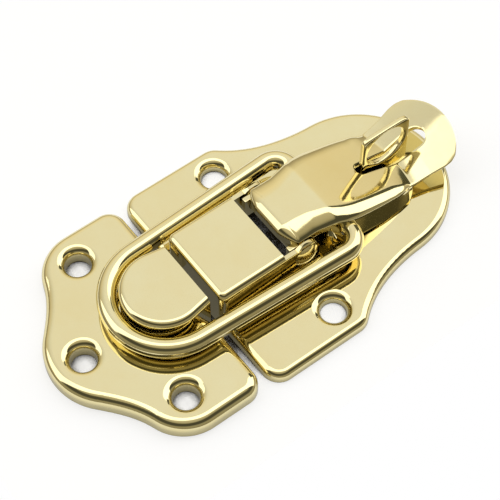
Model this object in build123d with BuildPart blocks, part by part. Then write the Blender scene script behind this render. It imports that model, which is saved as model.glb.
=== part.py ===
"""Suitcase latch: a pressed-brass draw bolt with a wire bail, a swinging lever and a padlock eye.

Frame, in millimetres: the origin lies on the mounting plane in the middle of the gap between the
two plates. +X runs along the latch to the lever's tip, +Y across it, +Z up from the case.
"""
import os
from math import asin, cos, degrees, hypot, radians, sin, tan

from build123d import *

os.makedirs("parts", exist_ok=True)

# Both plates: pressed sheet with a turned-down rim
plate_sheet = 0.8
gap_corner_radius = 2.8
catch_gap_x = -0.4
base_gap_x = 0.95

# Catch plate outline: straight side, rounded ear, drawn-in waist, round end
catch_height = 2.8
catch_rim_radius = 1.5
catch_half_width = 19.1
catch_end_x = -23.9
catch_end_radius = 10.0
catch_end_arc = 41.0
catch_side_x = -9.5
catch_lobe_radius = 7.3
catch_lobe_arc = 71.0

# Base plate outline: the same forms in other sizes
base_height = 1.8
base_rim_radius = 1.1
base_half_width = 19.5
base_end_x = 46.1
base_end_radius = 13.75
base_end_arc = 87.0
base_side_x = 16.7
base_lobe_radius = 3.1
base_lobe_arc = 41.0

# Raised bosses: the D-shaped hook and the boss that carries the lever
boss_height = 8.0
boss_edge_radius = 0.95
boss_corner_radius = 1.1
hook_radius = 6.5
hook_left_x = -10.9
hook_flank_angle = 80.0
boss_half_width = 6.9
boss_top_end_x = 12.5
ear_radius = 2.4
ear_dip_x = 14.6
ear_dip_z = 7.5

# Screw holes: each lip is rolled down into a cup under the sheet
screw_hole_radius = 1.95
screw_lip_radius = 1.3
screw_cutter_radius = 3.6
screw_cup_wall = 0.56
screw_cup_outer_radius = 3.76
screw_cup_floor_z = 0.05
catch_end_hole_x = -18.75
catch_side_hole_x = -10.5
catch_side_hole_y = 13.7
base_hole_x = 15.3
base_hole_y = 14.8

# Pivot pin of the lever
pivot_x = 16.3
pivot_z = 5.5
pin_radius = 1.5
pin_head_radius = 2.05
pin_head_height = 0.7
pin_fit = 0.03
running_clearance = 0.06

# Wire bail
wire_radius = 1.5
bail_z = 5.2
bail_pivot_x = 24.2
bail_end_radius = 8.9
bail_splay = 2.5
bail_corner_radius = 2.8
bail_hook_clearance = 0.2
bail_tail_inset = 1.2
bail_tail_chamfer = 0.3

# Lever: pressed sheet, flat at the front, sloping to a valley, with a turned-up finger tip
lever_sheet = 0.9
lever_front_x = 14.0
lever_top_z = 9.2
lever_floor_z = 2.25
lever_ear_gap = 0.25
lever_edge_radius = 1.75
lever_crease_x = 22.3
lever_crease_radius = 6.0
lever_valley_x = 38.0
lever_valley_z = 3.9
lever_tail_radius = 1.3
lever_neck_x = 19.2
hip_x = 26.5
hip_half_width = 7.3
hip_lean = 0.03
haunch_x = 34.6
haunch_half_width = 7.3
haunch_lean = 0.12
haunch_turn = 0.55
valley_half_width = 6.15
valley_lean = 0.12
arch_right_x = 21.7
arch_top_z = 7.4
arch_corner_radius = 1.5
tip_mid_x = 43.0
tip_mid_z = 5.1
tip_under_z = 4.15
tip_end_x = 48.3
tip_end_z = 7.4
tip_corner_x = 45.2
tip_corner_radius = 1.2
tip_neck_half_width = 6.0
tip_half_width = 6.85
tip_round_x = 47.6
tip_round_y = 3.8
slot_left_x = 31.0
slot_right_x = 44.3
slot_width = 3.4

# Padlock eye: a flat plate staked upright into the base plate
eye_thickness = 0.9
eye_left_x = 31.9
eye_right_x = 40.8
eye_top_z = 12.8
eye_corner_radius = 1.0
eye_hole_radius = 3.6
eye_hole_x = 36.35
eye_hole_z = 8.75
tenon_length = 5.6
stake_overhang = 0.6
stake_height = 0.5

# Sizes that follow from the ones above
lever_front_half_width = boss_half_width - plate_sheet - lever_ear_gap
boss_end_x = pivot_x + ear_radius
hook_center_x = hook_left_x + hook_radius
bail_center_x = hook_left_x - bail_hook_clearance - wire_radius + bail_end_radius
lever_slope = (lever_top_z - lever_valley_z) / (lever_valley_x - lever_crease_x)
sheet_drop = hypot(1, lever_slope)
through = 3 * base_half_width


def polar(center_x, radius, angle):
    """A point at an angle in degrees on a circle centred on the X axis."""
    return (center_x + radius * cos(radians(angle)), radius * sin(radians(angle)))


def flat(point):
    """The first two coordinates of a point, for a sketch on a raised plane."""
    return (point.X, point.Y)


def plate_outline(gap_x, half_width, side_x, lobe_radius, lobe_arc, end_x, end_radius, end_arc, inset):
    """Outline of a plate: gap edge, straight side, convex ear, concave waist and round end."""
    toward = 1 if end_x > gap_x else -1
    edge_x = gap_x + toward * inset
    side_y = half_width - inset
    lobe_center = Vector(side_x, half_width - lobe_radius)
    lobe_turn = radians(lobe_arc)
    lobe_middle = Vector(toward * sin(lobe_turn / 2), cos(lobe_turn / 2))
    lobe_last = Vector(toward * sin(lobe_turn), cos(lobe_turn))
    end_center = Vector(end_x - toward * end_radius, 0)
    end_turn = radians(end_arc)
    end_first = Vector(toward * cos(end_turn), sin(end_turn))
    end_middle = Vector(toward * cos(end_turn / 2), sin(end_turn / 2))
    leave = Vector(toward * cos(lobe_turn), -sin(lobe_turn))
    arrive = Vector(toward * sin(end_turn), -cos(end_turn))
    with BuildSketch() as sketch:
        with BuildLine():
            edge = Line((edge_x, 0), (edge_x, side_y))
            side = Line(edge @ 1, (side_x, side_y))
            ThreePointArc(
                side @ 1,
                lobe_center + lobe_middle * (lobe_radius - inset),
                lobe_center + lobe_last * (lobe_radius - inset),
            )
            skin = Spline(
                lobe_center + lobe_last * lobe_radius,
                end_center + end_first * end_radius,
                tangents=(leave, arrive),
                mode=Mode.PRIVATE,
            )
            waist = []
            for share in (0, 0.25, 0.5, 0.75, 1):
                along = skin % share
                waist.append(skin @ share + Vector(along.Y, -along.X) * toward * inset)
            Spline(*waist, tangents=(leave, arrive))
            ThreePointArc(
                waist[-1],
                end_center + end_middle * (end_radius - inset),
                (end_x - toward * inset, 0),
            )
            mirror(about=Plane.XZ)
        make_face()
        corners = sketch.vertices().filter_by(lambda v: abs(v.X - edge_x) < 0.01 and abs(v.Y) > 1)
        fillet(corners, radius=gap_corner_radius - inset)
    return sketch.sketch


def catch_outline(inset):
    """Outline of the catch plate, drawn in by the inset."""
    return plate_outline(
        catch_gap_x,
        catch_half_width,
        catch_side_x,
        catch_lobe_radius,
        catch_lobe_arc,
        catch_end_x,
        catch_end_radius,
        catch_end_arc,
        inset,
    )


def base_outline(inset):
    """Outline of the base plate, drawn in by the inset."""
    return plate_outline(
        base_gap_x,
        base_half_width,
        base_side_x,
        base_lobe_radius,
        base_lobe_arc,
        base_end_x,
        base_end_radius,
        base_end_arc,
        inset,
    )


def hook_outline(inset, end_x):
    """D-shaped outline of the hook: a round end whose flanks draw in a little towards the gap."""
    radius = hook_radius - inset
    top = polar(hook_center_x, radius, hook_flank_angle)
    flank_end_y = top[1] - (end_x - top[0]) / tan(radians(hook_flank_angle))
    with BuildSketch() as sketch:
        with BuildLine():
            ThreePointArc(top, (hook_center_x - radius, 0), (top[0], -top[1]))
            Polyline((top[0], -top[1]), (end_x, -flank_end_y), (end_x, flank_end_y), top)
        make_face()
    return sketch.sketch


def pressed_form(outline, height, rim_radius, boss, open_x, inset):
    """A plate with a boss raised from it: the skin at inset 0, the hollow below it at one sheet."""
    with BuildPart() as form:
        with BuildSketch():
            add(outline(inset))
        extrude(amount=height - inset)
        fillet(form.faces().sort_by(Axis.Z)[-1].edges(), radius=rim_radius - inset)
        with BuildSketch():
            add(boss)
        extrude(amount=boss_height - inset)
        rounded = form.edges().group_by(Axis.Z)[-1].filter_by(lambda e: abs(e.center().X - open_x) > 0.01)
        fillet(rounded, radius=boss_edge_radius - inset)
    return form.part


def boss_outline(inset, end_x):
    """Rectangular outline of the boss and, past its top, of the two ears."""
    with BuildSketch() as sketch:
        with BuildLine():
            left_x = base_gap_x + inset
            side_y = boss_half_width - inset
            Polyline((left_x, -side_y), (end_x, -side_y), (end_x, side_y), (left_x, side_y), close=True)
        make_face()
        fillet(sketch.vertices().group_by(Axis.X)[0], radius=boss_corner_radius - inset)
    return sketch.sketch


def screw_cup(height):
    """The cup drawn down round a screw hole, still solid, for a plate of one height."""
    with BuildPart() as cup:
        with BuildSketch(Plane.XZ):
            Polygon(
                (0, screw_cup_floor_z),
                (screw_hole_radius + screw_cup_wall, screw_cup_floor_z),
                (screw_cup_outer_radius, height - plate_sheet),
                (screw_cup_outer_radius, height - plate_sheet / 2),
                (0, height - plate_sheet / 2),
                align=None,
            )
        revolve(axis=Axis.Z)
    return cup.part


def screw_bore(height):
    """The screw hole, its lip rolled down from the plate's face in a quarter round."""
    with BuildPart() as bore:
        with BuildSketch(Plane.XZ) as profile:
            Polygon(
                (0, -height),
                (screw_hole_radius, -height),
                (screw_hole_radius, height),
                (screw_cutter_radius, height),
                (screw_cutter_radius, 2 * height),
                (0, 2 * height),
                align=None,
            )
            lip = profile.vertices().filter_by(
                lambda v: abs(v.X - screw_hole_radius) < 0.01 and v.Y > 0
            )
            fillet(lip, radius=screw_lip_radius)
        revolve(axis=Axis.Z)
    return bore.part


# Catch plate, with the D-shaped hook open towards the gap
catch_cup = screw_cup(catch_height)
catch_bore = screw_bore(catch_height)
with BuildPart() as catch_plate:
    catch_form = (catch_outline, catch_height, catch_rim_radius)
    add(pressed_form(*catch_form, hook_outline(0, catch_gap_x), catch_gap_x, 0))
    hollow_end_x = catch_gap_x + plate_sheet
    hollow_hook = hook_outline(plate_sheet, hollow_end_x)
    add(pressed_form(*catch_form, hollow_hook, hollow_end_x, plate_sheet), mode=Mode.SUBTRACT)
    catch_holes = [
        (catch_end_hole_x, 0),
        (catch_side_hole_x, catch_side_hole_y),
        (catch_side_hole_x, -catch_side_hole_y),
    ]
    with Locations(*catch_holes):
        add(catch_cup)
    with Locations(*catch_holes):
        add(catch_bore, mode=Mode.SUBTRACT)
catch_plate.part.label = "catch_plate"
export_step(catch_plate.part, "parts/catch_plate.step")

# Base plate: its boss is cut open between two ears, which hold the lever's pin
base_cup = screw_cup(base_height)
base_bore = screw_bore(base_height)
with BuildPart() as base_plate:
    base_form = (base_outline, base_height, base_rim_radius)
    add(pressed_form(*base_form, boss_outline(0, boss_end_x), boss_end_x, 0))
    hollow_end_x = boss_end_x + plate_sheet
    hollow_boss = boss_outline(plate_sheet, hollow_end_x)
    add(pressed_form(*base_form, hollow_boss, hollow_end_x, plate_sheet), mode=Mode.SUBTRACT)
    with Locations((boss_top_end_x, 0, 0)):
        Box(
            hollow_end_x - boss_top_end_x,
            2 * (boss_half_width - plate_sheet),
            2 * boss_height,
            align=(Align.MIN, Align.CENTER, Align.MIN),
            mode=Mode.SUBTRACT,
        )
    with BuildSketch(Plane.XZ) as ear_trim:
        Polygon(
            (boss_top_end_x, ear_dip_z),
            (boss_top_end_x, boss_height + 1),
            (boss_end_x + 4, boss_height + 1),
            (boss_end_x + 4, base_height),
            (boss_end_x, base_height),
            (boss_end_x, pivot_z),
            (pivot_x, pivot_z),
            (ear_dip_x, ear_dip_z),
            align=None,
        )
        with Locations((pivot_x, pivot_z)):
            Circle(ear_radius, mode=Mode.SUBTRACT)
    extrude(amount=through, both=True, mode=Mode.SUBTRACT)
    with BuildSketch(Plane.XZ):
        with Locations((pivot_x, pivot_z)):
            Circle(pin_radius + pin_fit)
    extrude(amount=through, both=True, mode=Mode.SUBTRACT)
    base_holes = [(base_hole_x, base_hole_y), (base_hole_x, -base_hole_y)]
    with Locations(*base_holes):
        add(base_cup)
    with Locations(*base_holes):
        add(base_bore, mode=Mode.SUBTRACT)
    tenon_center_x = (eye_left_x + eye_right_x) / 2
    with Locations((tenon_center_x, 0, base_height)):
        Box(
            tenon_length + 2 * pin_fit,
            eye_thickness + 2 * pin_fit,
            4 * plate_sheet,
            mode=Mode.SUBTRACT,
        )
base_plate.part.label = "base_plate"
export_step(base_plate.part, "parts/base_plate.step")

# Pivot pin through both ears, its ends peened into low domes
with BuildPart() as pivot_pin:
    head_y = boss_half_width + pin_fit
    dome_radius = (pin_head_radius**2 + pin_head_height**2) / (2 * pin_head_height)
    dome_y = head_y + pin_head_height - dome_radius
    with BuildSketch(Plane.YZ.offset(pivot_x)):
        with BuildLine():
            Polyline(
                (0, pivot_z),
                (0, pivot_z + pin_radius),
                (head_y, pivot_z + pin_radius),
                (head_y, pivot_z + pin_head_radius),
            )
            CenterArc(
                (dome_y, pivot_z),
                dome_radius,
                0,
                degrees(asin(pin_head_radius / dome_radius)),
            )
            Line((head_y + pin_head_height, pivot_z), (0, pivot_z))
        make_face()
        mirror(about=Plane.YZ)
    revolve(axis=Axis((pivot_x, 0, pivot_z), (0, 1, 0)))
pivot_pin.part.label = "pivot_pin"
export_step(pivot_pin.part, "parts/pivot_pin.step")

# Bail: one wire from tail to tail, round the hook and into the lever's sides
with BuildPart() as bail:
    tail_y = lever_front_half_width - bail_tail_inset
    shoulder = Vector(*polar(bail_center_x, bail_end_radius, 90 + bail_splay))
    run = Vector(cos(radians(bail_splay)), sin(radians(bail_splay)))
    corner_span = bail_corner_radius * (1 + run.Y)
    corner_first = shoulder + run * ((bail_pivot_x - corner_span - shoulder.X) / run.X)
    corner_center = corner_first + Vector(run.Y, -run.X) * bail_corner_radius
    corner_last = corner_center + Vector(bail_corner_radius, 0)
    half_turn = radians((90 + bail_splay) / 2)
    corner_middle = corner_center + Vector(cos(half_turn), sin(half_turn)) * bail_corner_radius
    nose_middle = polar(bail_center_x, bail_end_radius, 90 + bail_splay + (90 - bail_splay) / 2)
    with BuildLine(Plane.XY.offset(bail_z)) as bail_path:
        Line((bail_pivot_x, tail_y), flat(corner_last))
        ThreePointArc(flat(corner_last), flat(corner_middle), flat(corner_first))
        Line(flat(corner_first), flat(shoulder))
        ThreePointArc(flat(shoulder), nose_middle, (bail_center_x - bail_end_radius, 0))
    with BuildSketch(Plane((bail_pivot_x, tail_y, bail_z), x_dir=(1, 0, 0), z_dir=(0, 1, 0))):
        Circle(wire_radius)
    sweep(path=bail_path.line)
    mirror(about=Plane.XZ)
    chamfer(bail.faces().filter_by(Axis.Y).edges(), length=bail_tail_chamfer)
bail.part.label = "bail"
export_step(bail.part, "parts/bail.step")


def lever_outline(z, rear_x, inset):
    """Plan outline of the lever at one height: parallel front, flared hip and narrow valley."""
    drop = lever_floor_z - z
    front_y = lever_front_half_width - inset
    hip_y = hip_half_width + hip_lean * drop - inset
    haunch_y = haunch_half_width + haunch_lean * drop - inset
    valley_y = valley_half_width + valley_lean * drop - inset
    with BuildSketch(Plane.XY.offset(z)) as sketch:
        with BuildLine():
            front = Line((lever_front_x + inset, 0), (lever_front_x + inset, front_y))
            side = Line(front @ 1, (lever_neck_x, front_y))
            flank = Spline(
                side @ 1,
                (hip_x, hip_y),
                (haunch_x, haunch_y),
                (rear_x, valley_y),
                tangents=((1, 0), (1, -haunch_turn)),
            )
            Line(flank @ 1, (rear_x, 0))
            mirror(about=Plane.XZ)
        make_face()
    return sketch.sketch


def lever_form(rear_x, inset):
    """The lever's pressed body: the skin at inset 0, the hollow below it at one sheet."""
    top_z = lever_top_z - inset
    slope_z = lever_top_z - inset * sheet_drop
    crease_x = lever_crease_x - (top_z - slope_z) / lever_slope
    with BuildPart() as form:
        add(lever_outline(0, rear_x, inset))
        add(lever_outline(lever_top_z + 1, rear_x, inset))
        loft()
        with BuildSketch(Plane.XZ) as profile:
            Polygon(
                (lever_front_x + inset, 0),
                (lever_front_x + inset, top_z),
                (crease_x, top_z),
                (rear_x, slope_z - lever_slope * (rear_x - lever_crease_x)),
                (rear_x, 0),
                align=None,
            )
            crease = profile.vertices().filter_by(lambda v: abs(v.X - crease_x) < 0.01)
            fillet(crease, radius=lever_crease_radius - inset)
        extrude(amount=through, both=True, mode=Mode.INTERSECT)
        skin = form.edges().filter_by(lambda e: e.center().Z > 0.1 and e.center().X < rear_x - 0.1)
        front = skin.filter_by(lambda e: e.center().X < lever_front_x + inset + 0.01)
        sides = skin.filter_by(lambda e: abs(e.center().Y) > 1 and abs((e @ 1 - e @ 0).X) > 0.1)
        fillet(front + sides, radius=lever_edge_radius - inset)
    return form.part


# Lever: hollow skin, lugs inside the ears, finger tip, slot for the eye, holes for pin and bail
with BuildPart() as lever:
    add(lever_form(lever_valley_x, 0))
    add(lever_form(lever_valley_x + 2, lever_sheet), mode=Mode.SUBTRACT)
    with BuildSketch(Plane.XZ) as skirt:
        Polygon(
            (lever_front_x - 1, lever_floor_z),
            (lever_valley_x, lever_floor_z),
            (lever_valley_x, lever_top_z + 1),
            (lever_front_x - 1, lever_top_z + 1),
            align=None,
        )
        fillet(skirt.vertices().sort_by(Axis.X)[-2:].sort_by(Axis.Y)[0], radius=lever_tail_radius)
    extrude(amount=through, both=True, mode=Mode.INTERSECT)
    with BuildSketch(Plane.XZ) as arch:
        Polygon(
            (lever_front_x - 1, 0),
            (arch_right_x, 0),
            (arch_right_x, arch_top_z),
            (lever_front_x - 1, arch_top_z),
            align=None,
        )
        fillet(arch.vertices().sort_by(Axis.X)[-2:].sort_by(Axis.Y)[-1], radius=arch_corner_radius)
        with Locations((pivot_x, pivot_z)):
            Circle(ear_radius, mode=Mode.SUBTRACT)
            Rectangle(
                2 * ear_radius,
                lever_top_z - pivot_z,
                align=(Align.CENTER, Align.MIN),
                mode=Mode.SUBTRACT,
            )
    extrude(amount=through, both=True, mode=Mode.SUBTRACT)
    with BuildSketch(Plane.XZ) as tip_profile:
        under_z = lever_valley_z - lever_sheet * sheet_drop
        with BuildLine():
            top = ThreePointArc(
                (lever_valley_x, lever_valley_z), (tip_mid_x, tip_mid_z), (tip_end_x, tip_end_z)
            )
            rise = (top % 1).normalized()
            under_end = (tip_end_x + lever_sheet * rise.Y, tip_end_z - lever_sheet * rise.X)
            Line((tip_end_x, tip_end_z), under_end)
            ThreePointArc(under_end, (tip_mid_x, tip_under_z), (lever_valley_x, under_z))
            Polyline(
                (lever_valley_x, under_z),
                (lever_valley_x - 0.4, lever_valley_z - lever_sheet / 2),
                (lever_valley_x, lever_valley_z),
            )
        make_face()
    tip_sheet = extrude(amount=tip_half_width + 1, both=True, mode=Mode.PRIVATE)
    with BuildSketch(mode=Mode.PRIVATE) as tip_plan:
        with BuildLine():
            Polyline(
                (lever_valley_x - 1, 0),
                (lever_valley_x - 1, tip_neck_half_width),
                (lever_valley_x, tip_neck_half_width),
                (tip_corner_x, tip_half_width),
            )
            ThreePointArc(
                (tip_corner_x, tip_half_width),
                (tip_round_x, tip_round_y),
                (tip_end_x, 0),
            )
            Line((tip_end_x, 0), (lever_valley_x - 1, 0))
        make_face()
        mirror(about=Plane.XZ)
        fillet(tip_plan.vertices().filter_by(lambda v: abs(v.X - tip_corner_x) < 0.01), tip_corner_radius)
    add(tip_sheet & extrude(tip_plan.sketch, amount=2 * lever_top_z, mode=Mode.PRIVATE))
    with BuildSketch():
        with Locations(((slot_left_x + slot_right_x) / 2, 0)):
            SlotOverall(slot_right_x - slot_left_x, slot_width)
    extrude(amount=2 * lever_top_z, mode=Mode.SUBTRACT)
    with BuildSketch(Plane.XZ):
        with Locations((pivot_x, pivot_z)):
            Circle(pin_radius + running_clearance)
        with Locations((bail_pivot_x, bail_z)):
            Circle(wire_radius + running_clearance)
    extrude(amount=through, both=True, mode=Mode.SUBTRACT)
lever.part.label = "lever"
export_step(lever.part, "parts/lever.step")

# Padlock eye: plate on edge with a round hole, its tenon spread below the sheet
with BuildPart() as padlock_eye:
    with BuildSketch(Plane.XZ) as eye_face:
        Polygon(
            (eye_left_x, base_height),
            (eye_right_x, base_height),
            (eye_right_x, eye_top_z),
            (eye_left_x, eye_top_z),
            align=None,
        )
        fillet(eye_face.vertices().group_by(Axis.Y)[-1], radius=eye_corner_radius)
        with Locations((eye_hole_x, eye_hole_z)):
            Circle(eye_hole_radius, mode=Mode.SUBTRACT)
    extrude(amount=eye_thickness / 2, both=True)
    with Locations((tenon_center_x, 0, base_height)):
        Box(
            tenon_length,
            eye_thickness,
            plate_sheet + stake_height,
            align=(Align.CENTER, Align.CENTER, Align.MAX),
        )
    with Locations((tenon_center_x, 0, base_height - plate_sheet)):
        Box(
            tenon_length + 2 * stake_overhang,
            eye_thickness + 2 * stake_overhang,
            stake_height,
            align=(Align.CENTER, Align.CENTER, Align.MAX),
        )
padlock_eye.part.label = "padlock_eye"
export_step(padlock_eye.part, "parts/padlock_eye.step")
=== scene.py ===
import bmesh
import bpy
import math
import numpy as np
from mathutils import Matrix, Vector


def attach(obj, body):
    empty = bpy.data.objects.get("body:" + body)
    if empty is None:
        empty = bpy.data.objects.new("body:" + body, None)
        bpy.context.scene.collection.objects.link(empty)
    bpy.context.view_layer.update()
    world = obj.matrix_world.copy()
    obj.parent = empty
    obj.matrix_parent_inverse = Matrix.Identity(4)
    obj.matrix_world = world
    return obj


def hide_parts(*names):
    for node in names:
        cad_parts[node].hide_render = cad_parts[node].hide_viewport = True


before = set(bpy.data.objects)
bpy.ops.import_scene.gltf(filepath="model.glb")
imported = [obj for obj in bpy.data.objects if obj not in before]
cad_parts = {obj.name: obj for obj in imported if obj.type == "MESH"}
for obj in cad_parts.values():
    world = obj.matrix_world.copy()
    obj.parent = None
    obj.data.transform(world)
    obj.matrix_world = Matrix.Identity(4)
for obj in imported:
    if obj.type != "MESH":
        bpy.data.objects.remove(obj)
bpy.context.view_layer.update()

# Camera: a long lens high over the near side of the latch, as the photograph was taken. Its place
# comes from the plates' outlines and screw holes.
camera_data = bpy.data.cameras.new("camera")
camera_data.lens = 121.18
camera_data.sensor_width = 36.0
camera_data.clip_start = 0.01
camera = bpy.data.objects.new("camera", camera_data)
bpy.context.scene.collection.objects.link(camera)
camera_place = Vector((-0.068925, -0.106291, 0.214336))
look = Vector((0.32051, 0.42558, -0.84626)).normalized()
right = look.cross(Vector((0.50910, 0.67599, 0.53278))).normalized()
above = right.cross(look)
camera.matrix_world = Matrix((
    (right.x, above.x, -look.x, camera_place.x),
    (right.y, above.y, -look.y, camera_place.y),
    (right.z, above.z, -look.z, camera_place.z),
    (0, 0, 0, 1),
))
bpy.context.scene.camera = camera

# Catch plate: brass-plated steel sheet, drawn in one stroke with its hook and its turned-down rim,
# then barrel-polished. Three screws hold it to the lid.
pale_brass = (0.800, 0.720, 0.410)
warm_brass = (0.785, 0.670, 0.340)
peel_height, hair_height = 1.6e-6, 0.25e-6


def polished_brass(name, roughness, ripple_height, grain_axis=(1.0, 1.0, 1.0)):
    """Plated and barrel-polished sheet; heights in metres.

    The colour drifts between two brass tones in clouds with finer mottling in them. The bump adds
    three noises: a slow ripple of the pressed sheet, a fine orange peel of the plating and hair
    scratches stretched along one axis. Roughness follows the peel and the scratches.
    """
    material = bpy.data.materials.new(name)
    material.use_nodes = True
    tree = material.node_tree
    shader = tree.nodes["Principled BSDF"]
    shader.inputs["Metallic"].default_value = 1.0

    def clouds(scale, detail, place):
        """Noise with about so many blobs to the metre, read at one place output."""
        noise = tree.nodes.new("ShaderNodeTexNoise")
        noise.inputs["Scale"].default_value = scale
        noise.inputs["Detail"].default_value = detail
        tree.links.new(place, noise.inputs["Vector"])
        return noise

    coord = tree.nodes.new("ShaderNodeTexCoord")
    tone = clouds(60.0, 8.0, coord.outputs["Object"])
    tone.inputs["Roughness"].default_value = 0.72
    tone_range = tree.nodes.new("ShaderNodeMapRange")
    tone_range.inputs["From Min"].default_value = 0.35
    tone_range.inputs["From Max"].default_value = 0.75
    tree.links.new(tone.outputs["Fac"], tone_range.inputs["Value"])
    colour = tree.nodes.new("ShaderNodeMix")
    colour.data_type = "RGBA"
    colour.inputs["A"].default_value = (*pale_brass, 1)
    colour.inputs["B"].default_value = (*warm_brass, 1)
    tree.links.new(tone_range.outputs["Result"], colour.inputs["Factor"])
    tree.links.new(colour.outputs["Result"], shader.inputs["Base Color"])

    ripple = clouds(260.0, 1.0, coord.outputs["Object"])
    peel = clouds(1500.0, 2.0, coord.outputs["Object"])
    along = tree.nodes.new("ShaderNodeMapping")
    along.inputs["Scale"].default_value = grain_axis
    tree.links.new(coord.outputs["Object"], along.inputs["Vector"])
    hair = clouds(9000.0, 2.0, along.outputs["Vector"])

    bumps = None
    for noise, height in ((ripple, ripple_height), (peel, peel_height), (hair, hair_height)):
        bump = tree.nodes.new("ShaderNodeBump")
        bump.inputs["Strength"].default_value = 1.0
        bump.inputs["Distance"].default_value = height
        tree.links.new(noise.outputs["Fac"], bump.inputs["Height"])
        if bumps:
            tree.links.new(bumps.outputs["Normal"], bump.inputs["Normal"])
        bumps = bump
    tree.links.new(bumps.outputs["Normal"], shader.inputs["Normal"])

    dull = tree.nodes.new("ShaderNodeMix")
    dull.data_type = "FLOAT"
    dull.inputs["Factor"].default_value = 0.5
    tree.links.new(peel.outputs["Fac"], dull.inputs["A"])
    tree.links.new(hair.outputs["Fac"], dull.inputs["B"])
    rough = tree.nodes.new("ShaderNodeMapRange")
    rough.inputs["From Min"].default_value = 0.3
    rough.inputs["From Max"].default_value = 0.7
    rough.inputs["To Min"].default_value = 0.6 * roughness
    rough.inputs["To Max"].default_value = 1.5 * roughness
    tree.links.new(dull.outputs["Result"], rough.inputs["Value"])
    tree.links.new(rough.outputs["Result"], shader.inputs["Roughness"])
    return material


def dress(node, material):
    """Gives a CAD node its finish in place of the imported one."""
    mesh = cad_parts[node].data
    mesh.materials.clear()
    mesh.materials.append(material)


catch_brass = polished_brass(
    "catch_brass", roughness=0.05, ripple_height=1.2e-5, grain_axis=(0.15, 1.0, 1.0)
)
dress("catch_plate", catch_brass)

# Base plate: the same sheet and finish. Its boss stays open at the rear, between the two ears that
# carry the lever's pin. Two screws hold it to the case.
base_brass = polished_brass(
    "base_brass", roughness=0.05, ripple_height=1.2e-5, grain_axis=(1.0, 0.15, 1.0)
)
dress("base_plate", base_brass)

# Pivot pin: a short length of brass-plated steel rod, pushed through both ears and the lever's lugs.
# Its ends are peened over, so they are duller than the rest.
dress("pivot_pin", polished_brass("pin_brass", roughness=0.16, ripple_height=4e-6))

# Bail: one length of drawn wire, bent to a stirrup, plated and polished. Its two tails spring into
# the sides of the lever.
wire_brass = polished_brass(
    "wire_brass", roughness=0.06, ripple_height=6e-6, grain_axis=(0.2, 1.0, 1.0)
)
dress("bail", wire_brass)

# Lever: one piece of brass-plated sheet, pressed to a channel with slanted shoulders and a rolled
# front. Its roof falls to a valley and runs out in a dished finger tip with a slot. Two lugs take
# the pin. All its sizes are in mm.
lever_sheet, lever_edge = 0.9, 0.14
front_x, front_roll, front_slant, front_lip_z = 14.0, 1.7, 1.5, 7.0
crease_x, valley_x, tip_x = 22.3, 38.0, 48.0
crease_softness, valley_softness, valley_depth = 0.07, 0.05, 0.06
tip_rise, tip_curl = 0.31, 0.0034
tip_dish, tip_dish_edge, crown_reach = 0.045, 0.00046, 6.8
tip_corner_x, tip_corner_depth = 46.8, 0.4
roof_z, valley_z, valley_bow = 9.2, 3.9, 0.022
roof_slope = (roof_z - valley_z) / (valley_x - crease_x)
channel_foot_z, foot_round, tail_foot_x = 2.25, 1.5, 38.2
slot_from, slot_to, slot_near_eye, slot_at_tip = 31.0, 44.3, 1.1, 1.7
roof_columns, shoulder_columns, wall_columns = 15, 14, 12


def eased(x, stations, values, ease):
    """Straight runs between the stations, averaged over a short length so that they turn softly."""
    fine = np.linspace(stations[0], stations[-1], 1200)
    runs = np.interp(fine, stations, values)
    count = max(3, int(ease / (fine[1] - fine[0])) // 2 * 2 + 1)
    window = np.hanning(count + 2)[1:-1]
    padded_runs = np.concatenate([
        np.full(count // 2, runs[0]),
        runs,
        np.full(count // 2, runs[-1]),
    ])
    return np.interp(x, fine, np.convolve(padded_runs, window / window.sum(), "valid"))


def roof_height(x):
    """The lower of a level and a falling line, then the higher of that and the tip's rising curve.

    Both are softened: the lower or higher of two heights is half their sum, less or plus half the
    root of their difference squared and the softness squared.
    """
    top = roof_z + crease_softness / 2
    level = np.full_like(x, top)
    falling = top - roof_slope * (x - crease_x)
    body = (level + falling - np.sqrt((level - falling) ** 2 + crease_softness**2)) / 2
    past = x - valley_x
    rise = valley_z - valley_depth + tip_rise * past + tip_curl * past.clip(0) ** 2
    return (body + rise + np.sqrt((body - rise) ** 2 + valley_softness**2)) / 2


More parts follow.
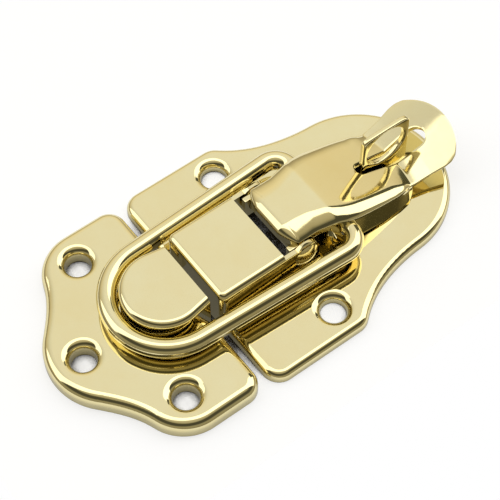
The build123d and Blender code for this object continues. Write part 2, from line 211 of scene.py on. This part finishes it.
def lever_half(rows):
    """One half of the lever's skin behind its front roll.

    Each row stands at one place along the lever. It runs from the slot's edge, or the middle, over
    the roof, round the shoulder and straight down the wall to the channel's foot. The shoulder is a
    quarter ellipse whose sine and cosine are raised to a power, which slants it. Across the lever,
    the roof drops by a crown times y squared, and the rows bend back round the valley and the tip by
    y squared and y to the fourth.
    """
    x = rows[:, None]
    slot_round = slot_from + slot_near_eye, slot_to - slot_at_tip
    taper = np.interp(rows, slot_round, (slot_near_eye, slot_at_tip))
    inside = np.clip(np.minimum(
        1 - ((slot_round[0] - rows) / slot_near_eye).clip(0) ** 2,
        1 - ((rows - slot_round[1]) / slot_at_tip).clip(0) ** 2,
    ), 0, 1)
    slot_edge = (taper * np.sqrt(inside))[:, None]

    roof_x = (13.0, 19.2, 22.0, 24.0, 26.0, 28.0, 31.0, 34.0, 36.0, 37.3, 38.0, 45.2, 49.0)
    roof_y = (5.85, 5.85, 6.45, 6.95, 7.15, 7.10, 6.95, 6.70, 6.35, 6.05, 6.00, 6.85, 6.85)
    foot_y = (5.85, 5.85, 6.50, 7.05, 7.40, 7.55, 7.68, 7.55, 7.20, 6.40, 6.05, 6.85, 6.85)
    corner = ((x - tip_corner_x) / (tip_x - tip_corner_x)).clip(0) ** 2
    half = eased(x, roof_x, roof_y, 1.4) - tip_corner_depth * corner
    soft_x = (13.0, 17.0, 21.0, 25.0, 34.0, 37.2, 38.6, 49.0)
    shoulder_y = eased(x, soft_x, (3.3, 3.2, 2.7, 2.3, 2.0, 0.7, 0.16, 0.16), 1.2)
    shoulder_z = eased(x, soft_x, (1.15, 1.2, 1.2, 1.1, 0.9, 0.45, 0.12, 0.12), 1.2)
    slant = eased(x, soft_x, (front_slant, front_slant, 1.45, 1.3, 1.15, 1.0, 1.0, 1.0), 1.2)

    across = np.linspace(0, 1, roof_columns)[None, :]
    roof = slot_edge + (half - shoulder_y - slot_edge) * across
    turn = np.linspace(0, np.pi / 2, shoulder_columns + 1)[None, 1:]
    y = np.concatenate([roof, half - shoulder_y + shoulder_y * np.sin(turn) ** slant], 1)
    drop = np.concatenate([0 * roof, shoulder_z * (1 - np.cos(turn).clip(0) ** slant)], 1)
    bow = valley_bow * np.interp(rows, (35.0, valley_x, 41.0), (0, 1, 0))[:, None]
    end = np.interp(rows, (39.5, tip_x), (0, 1))[:, None]
    dish = end * (tip_dish * y**2 + tip_dish_edge * y**4)
    skin_x = x - bow * y**2 - dish
    crown_x = (15.0, 22.0, 28.0, 33.0, 36.0, 39.0, 48.0)
    crown = np.interp(rows, crown_x, (0.10, 0.14, 0.0, -0.15, -0.15, 0.3, 0.7))[:, None]
    skin_z = roof_height(x - dish) - drop - crown * (y / crown_reach) ** 2
    skin = np.stack([skin_x, y, skin_z], 2)

    quarter = np.linspace(0, np.pi / 2, 9)
    foot_at = np.concatenate([
        (15.7, 19.4),
        np.linspace(19.4, 21.2, 9)[1:],
        (24.3, 24.9, 36.0),
        np.linspace(36.0, tail_foot_x, 9)[1:],
    ])
    foot_x = np.concatenate([
        (15.7, 20.2),
        20.2 + foot_round * np.sin(quarter[1:]),
        (21.7, 22.1, 36.7),
        36.7 + foot_round * np.sin(quarter[1:]),
    ])
    foot_z = np.concatenate([
        (front_lip_z, front_lip_z),
        front_lip_z - foot_round + foot_round * np.cos(quarter[1:]),
        (2.6, channel_foot_z, channel_foot_z),
        channel_foot_z + foot_round - foot_round * np.cos(quarter[1:]),
    ])
    last = skin[:, -1:, :]
    below = rows[:, None] < tail_foot_x
    back = bow * last[:, :, 1] ** 2
    to_x = np.where(below, np.interp(x, foot_at, foot_x) - back, last[:, :, 0])
    hem_z = last[:, :, 2] - 0.05
    to_z = np.where(below, np.minimum(np.interp(x, foot_at, foot_z), hem_z), hem_z)
    down = np.linspace(0, 1, wall_columns + 1)[None, 1:]
    wall_x = last[:, :, 0] + (to_x - last[:, :, 0]) * down
    wall_z = last[:, :, 2] + (to_z - last[:, :, 2]) * down
    lean = ((last[:, :, 2] - wall_z) / (last[:, :, 2] - channel_foot_z + 1e-6)).clip(0, 1)
    flare = eased(wall_x, roof_x, np.subtract(foot_y, roof_y), 1.4)
    wall_y = np.where(below, eased(wall_x, roof_x, roof_y, 1.4) + flare * lean, last[:, :, 1])
    return np.concatenate([skin, np.stack([wall_x, wall_y, wall_z], 2)], 1)


def lever_front(first_row):
    """One half of the rolled front, ending on the first row of the rest.

    A quarter ellipse turns from the roof down to the face. At the side it closes to an eighth of an
    ellipsoid, and below that the face runs straight down, round the corner in plan, to its lip.
    """
    low_column = roof_columns + shoulder_columns - 1
    edge = first_row[roof_columns - 1]
    low = first_row[low_column]
    reach_y = low[1] - edge[1]
    reach_z = edge[2] - low[2]
    roof = first_row[:roof_columns]
    turn = np.linspace(np.pi / 2, 0, 13)[:, None]
    swing = np.linspace(0, np.pi / 2, shoulder_columns + 1)[None, 1:]
    around = np.sin(swing) ** front_slant
    ahead = np.cos(swing).clip(0) ** front_slant
    flat_x = front_x + front_roll * (1 - np.sin(turn)) + 0 * roof[None, :, 0]
    flat_z = roof[None, :, 2] - reach_z * (1 - np.cos(turn))
    flat = np.stack([flat_x, 0 * turn + roof[None, :, 1], flat_z], 2)
    ball = np.stack([
        front_x + front_roll * (1 - np.sin(turn) * ahead),
        edge[1] + reach_y * around + 0 * turn,
        low[2] + reach_z * np.cos(turn) * ahead,
    ], 2)
    rolled = np.concatenate([flat, ball], 1)
    heights = first_row[low_column:, 2][::-1, None]
    across = np.concatenate([roof[:, 1], edge[1] + reach_y * around[0]])[None, :]
    out = np.concatenate([0 * roof[:, 0], 1 - ahead[0]])[None, :]
    top = rolled[0, :, 2][None, :]
    share = (heights - heights[0]) / (heights[-1] - heights[0])
    face = np.stack([
        front_x + front_roll * out + 0 * heights,
        across + 0 * heights,
        heights[0] + (top - heights[0]) * share,
    ], 2)
    return np.concatenate([face, rolled[1:]], 0)


def skin_of(name, grids):
    """Joins grids of points, given in mm, into one mesh in metres and closes the seams in it."""
    points = []
    quads = []
    for grid in grids:
        index = np.arange(grid.shape[0] * grid.shape[1]).reshape(grid.shape[:2])
        index = index + sum(len(p) for p in points)
        corners = (index[:-1, :-1], index[1:, :-1], index[1:, 1:], index[:-1, 1:])
        quads.append(np.stack(corners, 2).reshape(-1, 4))
        points.append(grid.reshape(-1, 3) * 0.001)
    mesh = bpy.data.meshes.new(name)
    mesh.from_pydata(np.concatenate(points).tolist(), [], np.concatenate(quads).tolist())
    joined = bmesh.new()
    joined.from_mesh(mesh)
    bmesh.ops.remove_doubles(joined, verts=joined.verts, dist=2e-6)
    joined.to_mesh(mesh)
    joined.free()
    mesh.shade_smooth()
    piece = bpy.data.objects.new(name, mesh)
    bpy.context.scene.collection.objects.link(piece)
    return piece


def both_sides(half):
    """The half and its mirror image across the latch's middle, whose columns run the other way."""
    return [half, (half * (1, -1, 1))[:, ::-1]]


def round_edges(piece, width):
    """Rounds the sheet's edges and keeps the faces' own normals."""
    bevel = piece.modifiers.new("edge", "BEVEL")
    bevel.width = width
    bevel.segments = 2
    bevel.limit_method = "ANGLE"
    bevel.angle_limit = math.radians(50)
    bevel.harden_normals = False
    even = piece.modifiers.new("even", "WEIGHTED_NORMAL")
    even.keep_sharp = True


quarter_turn = np.linspace(0, np.pi / 2, 9)
lever_rows = np.concatenate([
    np.linspace(front_x + front_roll, 21.4, 14),
    np.linspace(21.6, 23.0, 8),
    np.linspace(23.4, slot_from - 0.4, 17),
    slot_from + slot_near_eye * (1 - np.cos(quarter_turn)),
    np.linspace(32.5, 36.4, 11),
    np.linspace(36.7, 39.5, 15),
    np.linspace(39.9, slot_to - slot_at_tip - 0.3, 7),
    slot_to - slot_at_tip + slot_at_tip * np.sin(quarter_turn),
    np.linspace(44.6, tip_x, 13),
])
half_skin = lever_half(lever_rows)
front_skin = lever_front(half_skin[0])
lever_brass = polished_brass(
    "lever_brass", roughness=0.07, ripple_height=1.4e-5, grain_axis=(0.2, 1.0, 1.0)
)
lever = skin_of("pressed_lever", both_sides(front_skin) + both_sides(half_skin))
wall = lever.modifiers.new("sheet", "SOLIDIFY")
wall.thickness = 0.001 * lever_sheet
wall.offset = -1.0
wall.use_even_offset = False
round_edges(lever, 0.001 * lever_edge)
lever.data.materials.append(lever_brass)
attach(lever, "lever")
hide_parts("lever")


def pierced_plate(hole, bore, outline, thickness, edge):
    """A plate on edge with a round hole: a closed section carried round the hole.

    hole is its centre in X and Z. outline gives the outer edge's distance from it at each angle. The
    section is a rectangle as thick as the plate whose four corners are rounded by the edge radius.
    """
    angle = np.linspace(0, 2 * np.pi, 145)[:, None]
    quarter = np.linspace(0, np.pi / 2, 5)
    set_back = edge * (1 - np.sin(quarter))
    set_back = np.concatenate([set_back, set_back[::-1]])[None, :] + 0 * angle
    rim_y = thickness / 2 - edge * (1 - np.cos(quarter))
    rim_y = np.concatenate([rim_y, -rim_y[::-1]])[None, :] + 0 * angle
    outer = outline(angle)
    middle = (outer + bore) / 2
    radius = np.concatenate([middle, outer - set_back, middle, bore + set_back, middle], 1)
    side = np.full_like(angle, thickness / 2)
    y = np.concatenate([side, rim_y, -side, -rim_y, side], 1)
    return np.stack([hole[0] + radius * np.cos(angle), y, hole[1] + radius * np.sin(angle)], 2)


pin_x, pin_z, lug_bore = 16.3, 5.5, 1.56
lug_y, lug_reach, lug_top, lug_edge = 5.37, 2.35, 1.72, 0.1


def lug_outline(angle):
    """A half circle below the pin, and above it a rectangle as wide that runs up under the roof."""
    up = np.sin(angle).clip(1e-6)
    side = lug_reach / np.abs(np.cos(angle)).clip(1e-6)
    return np.where(np.sin(angle) < 0, lug_reach, np.minimum(side, lug_top / up))


for side_name, side_y in (("near", -lug_y), ("far", lug_y)):
    lug = pierced_plate((pin_x, pin_z), lug_bore, lug_outline, lever_sheet, lug_edge)
    lug_piece = skin_of("lever_lug_" + side_name, [lug + (0, side_y, 0)])
    lug_piece.data.materials.append(lever_brass)
    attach(lug_piece, "lever")

# Padlock eye: a sheared brass plate on edge with a round hole, its edges tumbled smooth. Its tenon
# goes through the base plate and is spread below it. All its sizes are in mm.
eye_hole_x, eye_hole_z, eye_bore = 36.35, 8.75, 3.6
eye_sheet, eye_edge = 0.9, 0.24
eye_half_length, eye_above_hole, eye_below_hole = 4.45, 4.05, 6.95
top_corner_power, foot_corner_power = 7.0, 40.0


def eye_outline(angle):
    """Distance from the hole's centre to the plate's edge.

    It is a superellipse, round at the top corners for its low power and sharp at the foot for its
    high one: the powers of the cosine over the half length and the sine over the height add to one.
    """
    east = np.cos(angle)
    up = np.sin(angle)
    tall = np.where(up > 0, eye_above_hole, eye_below_hole)
    power = np.where(up > 0, top_corner_power, foot_corner_power)
    return (np.abs(east / eye_half_length) ** power + np.abs(up / tall) ** power) ** (-1 / power)


eye_brass = polished_brass("eye_brass", roughness=0.07, ripple_height=8e-6)
eye_skin = pierced_plate((eye_hole_x, eye_hole_z), eye_bore, eye_outline, eye_sheet, eye_edge)
eye = skin_of("eye_plate", [eye_skin])
eye.data.materials.append(eye_brass)
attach(eye, "base")
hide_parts("padlock_eye")


def staked_tenon():
    """Squared ovals stacked from the plate down to the spread stake and closed at both ends.

    Each is a circle stretched by its half length and half width, and pushed out to its corners by
    the eighth root of the eighth powers of the cosine and sine.
    """
    height = np.array((2.3, 2.3, 1.0, 0.96, 0.9, 0.6, 0.5, 0.5))[:, None]
    half_length = np.array((0.0, 2.8, 2.8, 3.3, 3.4, 3.4, 3.25, 0.0))[:, None]
    half_width = np.array((0.0, 0.44, 0.44, 0.95, 1.05, 1.05, 0.9, 0.0))[:, None]
    angle = np.linspace(0, -2 * np.pi, 49)[None, :]
    square = (np.abs(np.cos(angle)) ** 8 + np.abs(np.sin(angle)) ** 8) ** (-1 / 8)
    x = eye_hole_x + half_length * np.cos(angle) * square
    y = half_width * np.sin(angle) * square
    return np.stack([x, y, height + 0 * x], 2)


tenon = skin_of("eye_tenon", [staked_tenon()])
tenon.data.materials.append(eye_brass)
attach(tenon, "base")

# Table: a plain pale sheet under the latch, which isn't part of it. The camera and the metal see it
# lifted to white, with the latch's soft shadow. Where little sky reaches it, shade is painted in:
# ambient occlusion dims the glow, for the camera in the narrow gaps and for the metal by its square near
# every wall, and in the narrow gaps the sheet's colour is painted dark brown.
table_west, table_east = -0.038, 0.110
table_south, table_north = -0.0275, 0.090
table_z = -0.0001
table_grey = 0.38
table_lift = 0.68
contact_reach = 0.012
# Painted shade: below these amounts of sky, the glow that the camera sees fades out and the sheet's
# colour turns to the painted dark brown.
gap_sky, open_sky = 0.29, 0.39
# Painted shade: the dark brown laid into the sheet's colour in the narrow gaps.
painted_gap_shade = (0.05, 0.04, 0.02)
# Painted shade: the least of the glow that the metal sees, where ambient occlusion finds no sky.
light_in_gaps = 0.14
table_mesh = bpy.data.meshes.new("table")
table_mesh.from_pydata(
    [
        (table_west, table_south, table_z),
        (table_east, table_south, table_z),
        (table_east, table_north, table_z),
        (table_west, table_north, table_z),
    ],
    [],
    [(0, 1, 2, 3)],
)
table = bpy.data.objects.new("table", table_mesh)
bpy.context.scene.collection.objects.link(table)

paper = bpy.data.materials.new("table_paper")
paper.use_nodes = True
tree = paper.node_tree
tree.nodes.clear()


def worked_out(operation, *parts):
    """One step of arithmetic in the tree at hand, each part a number or another node's output."""
    node = tree.nodes.new("ShaderNodeMath")
    node.operation = operation
    for socket, part in zip(node.inputs, parts):
        if isinstance(part, float):
            socket.default_value = part
        else:
            tree.links.new(part, socket)
    return node.outputs["Value"]


def soft_step(amount, start, stop):
    """0 before start and 1 past stop, with a smooth rise between them."""
    step = tree.nodes.new("ShaderNodeMapRange")
    step.interpolation_type = "SMOOTHSTEP"
    step.inputs["From Min"].default_value = start
    step.inputs["From Max"].default_value = stop
    tree.links.new(amount, step.inputs["Value"])
    return step.outputs["Result"]


path = tree.nodes.new("ShaderNodeLightPath")
contact = tree.nodes.new("ShaderNodeAmbientOcclusion")
contact.inputs["Distance"].default_value = contact_reach
sky = contact.outputs["AO"]
metal_rays = worked_out("MAXIMUM", path.outputs["Is Glossy Ray"], path.outputs["Is Transmission Ray"])
# Painted shade: the glow that the metal sees is dimmed by the square of ambient occlusion.
metal_light = worked_out("MULTIPLY_ADD", worked_out("POWER", sky, 2.0), 1 - light_in_gaps, light_in_gaps)
in_metal = worked_out("MULTIPLY", metal_rays, metal_light)
# Painted shade: the glow that the camera sees fades out in the narrow gaps.
in_open = soft_step(sky, gap_sky, open_sky)
in_view = worked_out("MULTIPLY", path.outputs["Is Camera Ray"], in_open)
shown = worked_out("MAXIMUM", in_view, in_metal)
glow = tree.nodes.new("ShaderNodeEmission")
tree.links.new(worked_out("MULTIPLY", shown, table_lift), glow.inputs["Strength"])
diffuse = tree.nodes.new("ShaderNodeBsdfDiffuse")
# Painted shade: the diffuse colour turns from grey to dark brown in the narrow gaps.
grey_or_painted_shade = tree.nodes.new("ShaderNodeMix")
grey_or_painted_shade.data_type = "RGBA"
grey_or_painted_shade.inputs["A"].default_value = (*painted_gap_shade, 1)
grey_or_painted_shade.inputs["B"].default_value = (table_grey, table_grey, table_grey, 1)
tree.links.new(in_open, grey_or_painted_shade.inputs["Factor"])
tree.links.new(grey_or_painted_shade.outputs["Result"], diffuse.inputs["Color"])
both = tree.nodes.new("ShaderNodeAddShader")
tree.links.new(diffuse.outputs["BSDF"], both.inputs[0])
tree.links.new(glow.outputs["Emission"], both.inputs[1])
out = tree.nodes.new("ShaderNodeOutputMaterial")
tree.links.new(both.outputs["Shader"], out.inputs["Surface"])
table_mesh.materials.append(paper)

# Studio: the room that the brass mirrors. A broad soft light fills its far half and fades towards the
# hook's end, a white strip in front of it draws the white lines along the rims, and the near half is
# dark at half height, which draws the dark lines beside them.
studio = bpy.data.worlds.new("studio")
bpy.context.scene.world = studio
studio.use_nodes = True
tree = studio.node_tree
tree.nodes.clear()
toward = tree.nodes.new("ShaderNodeTexCoord")
split = tree.nodes.new("ShaderNodeSeparateXYZ")
tree.links.new(toward.outputs["Generated"], split.inputs["Vector"])


def light_by_height(stops):
    """A ramp of light over a direction's height, from -1 straight down to 1 straight up."""
    ramp = tree.nodes.new("ShaderNodeValToRGB")
    tree.links.new(worked_out("MULTIPLY_ADD", split.outputs["Z"], 0.5, 0.5), ramp.inputs["Fac"])
    while len(ramp.color_ramp.elements) < len(stops):
        ramp.color_ramp.elements.new(1.0)
    for element, (height, light) in zip(ramp.color_ramp.elements, stops):
        element.position = 0.5 + 0.5 * height
        element.color = (*light, 1)
    return ramp.outputs["Color"]


def facing(side, start, stop):
    """A soft step over how far a direction leans to one side."""
    lean = tree.nodes.new("ShaderNodeVectorMath")
    lean.operation = "DOT_PRODUCT"
    lean.inputs[1].default_value = side
    tree.links.new(toward.outputs["Generated"], lean.inputs[0])
    return soft_step(lean.outputs["Value"], start, stop)


def patch_inside(*steps):
    """The steps multiplied, for a patch of the room that lies inside all of them."""
    patch = steps[0]
    for step in steps[1:]:
        patch = worked_out("MULTIPLY", patch, step)
    return patch


def over(light, patch, colour):
    """A light with a patch of another laid over it."""
    node = tree.nodes.new("ShaderNodeMix")
    node.data_type = "RGBA"
    tree.links.new(patch, node.inputs["Factor"])
    tree.links.new(light, node.inputs["A"])
    if hasattr(colour, "links"):
        tree.links.new(colour, node.inputs["B"])
    else:
        node.inputs["B"].default_value = (*colour, 1)
    return node.outputs["Result"]


# Far half: warm and dim near the floor, white from half height upwards, and less of it to the west.
far_light = light_by_height((
    (-0.10, (0.38, 0.33, 0.24)),
    (0.08, (0.52, 0.46, 0.34)),
    (0.26, (0.84, 0.76, 0.58)),
    (0.45, (1.02, 0.94, 0.78)),
    (0.75, (1.00, 1.00, 1.00)),
    (0.85, (1.00, 1.00, 1.03)),
))
sweep = tree.nodes.new("ShaderNodeFloatCurve")
sweep_ends = ((0.0, 0.62), (1.0, 0.70))
sweep_between = ((0.25, 0.66), (0.42, 0.80), (0.58, 0.95), (0.66, 0.97), (0.885, 0.93))
for point, (west_to_east, light) in zip(sweep.mapping.curves[0].points, sweep_ends):
    point.location = (west_to_east, light)
for west_to_east, light in sweep_between:
    sweep.mapping.curves[0].points.new(west_to_east, light)
sweep.mapping.update()
tree.links.new(worked_out("MULTIPLY_ADD", split.outputs["X"], 0.5, 0.5), sweep.inputs["Value"])
far_sweep = tree.nodes.new("ShaderNodeVectorMath")
far_sweep.operation = "SCALE"
tree.links.new(far_light, far_sweep.inputs[0])
tree.links.new(sweep.outputs["Value"], far_sweep.inputs["Scale"])
lit = far_sweep.outputs["Vector"]

# White strip from end to end, just on the near side of the far light.
strip_light = (2.0, 2.0, 2.0)
strip = patch_inside(facing((-0.16, -1, 0), -0.39, -0.34), facing((0, 0, 1), 0.26, 0.34))
lit = over(lit, strip, strip_light)

# White box to the west, which lights the near half of the finger tip and the lever's rolled front.
west_light = (1.7, 1.7, 1.7)
west_box = patch_inside(facing((-0.844, -0.536, 0), -0.055, -0.03), facing((0, 0, 1), 0.30, 0.36))
lit = over(lit, west_box, west_light)

# Dark screen low in the east, which draws the dark edge above the lever's rear shoulder.
screen_light = (0.10, 0.10, 0.07)
east_screen = patch_inside(
    facing((1, 0, 0), 0.58, 0.64),
    facing((0, 0, -1), -0.66, -0.60),
    facing((0, -1, 0), -0.37, -0.34),
    facing((0, 1, 0), 0.12, 0.16),
)
lit = over(lit, east_screen, screen_light)

# Near half: dim near the floor, dark at half height, and half lit overhead.
near_light = light_by_height((
    (-0.20, (0.26, 0.23, 0.16)),
    (0.10, (0.36, 0.33, 0.24)),
    (0.32, (0.32, 0.30, 0.22)),
    (0.45, (0.08, 0.075, 0.06)),
    (0.76, (0.08, 0.08, 0.06)),
    (0.86, (0.46, 0.42, 0.31)),
    (0.96, (0.60, 0.56, 0.46)),
))
lit = over(lit, facing((-0.44, -1, 0), 0.04, 0.12), near_light)

room = tree.nodes.new("ShaderNodeBackground")
tree.links.new(lit, room.inputs["Color"])
white = tree.nodes.new("ShaderNodeBackground")
white.inputs["Color"].default_value = (1, 1, 1, 1)
path = tree.nodes.new("ShaderNodeLightPath")
seen = tree.nodes.new("ShaderNodeMixShader")
tree.links.new(path.outputs["Is Camera Ray"], seen.inputs["Fac"])
tree.links.new(room.outputs["Background"], seen.inputs[1])
tree.links.new(white.outputs["Background"], seen.inputs[2])
out = tree.nodes.new("ShaderNodeOutputWorld")
tree.links.new(seen.outputs["Shader"], out.inputs["Surface"])
bpy.context.scene.view_settings.view_transform = "Standard"
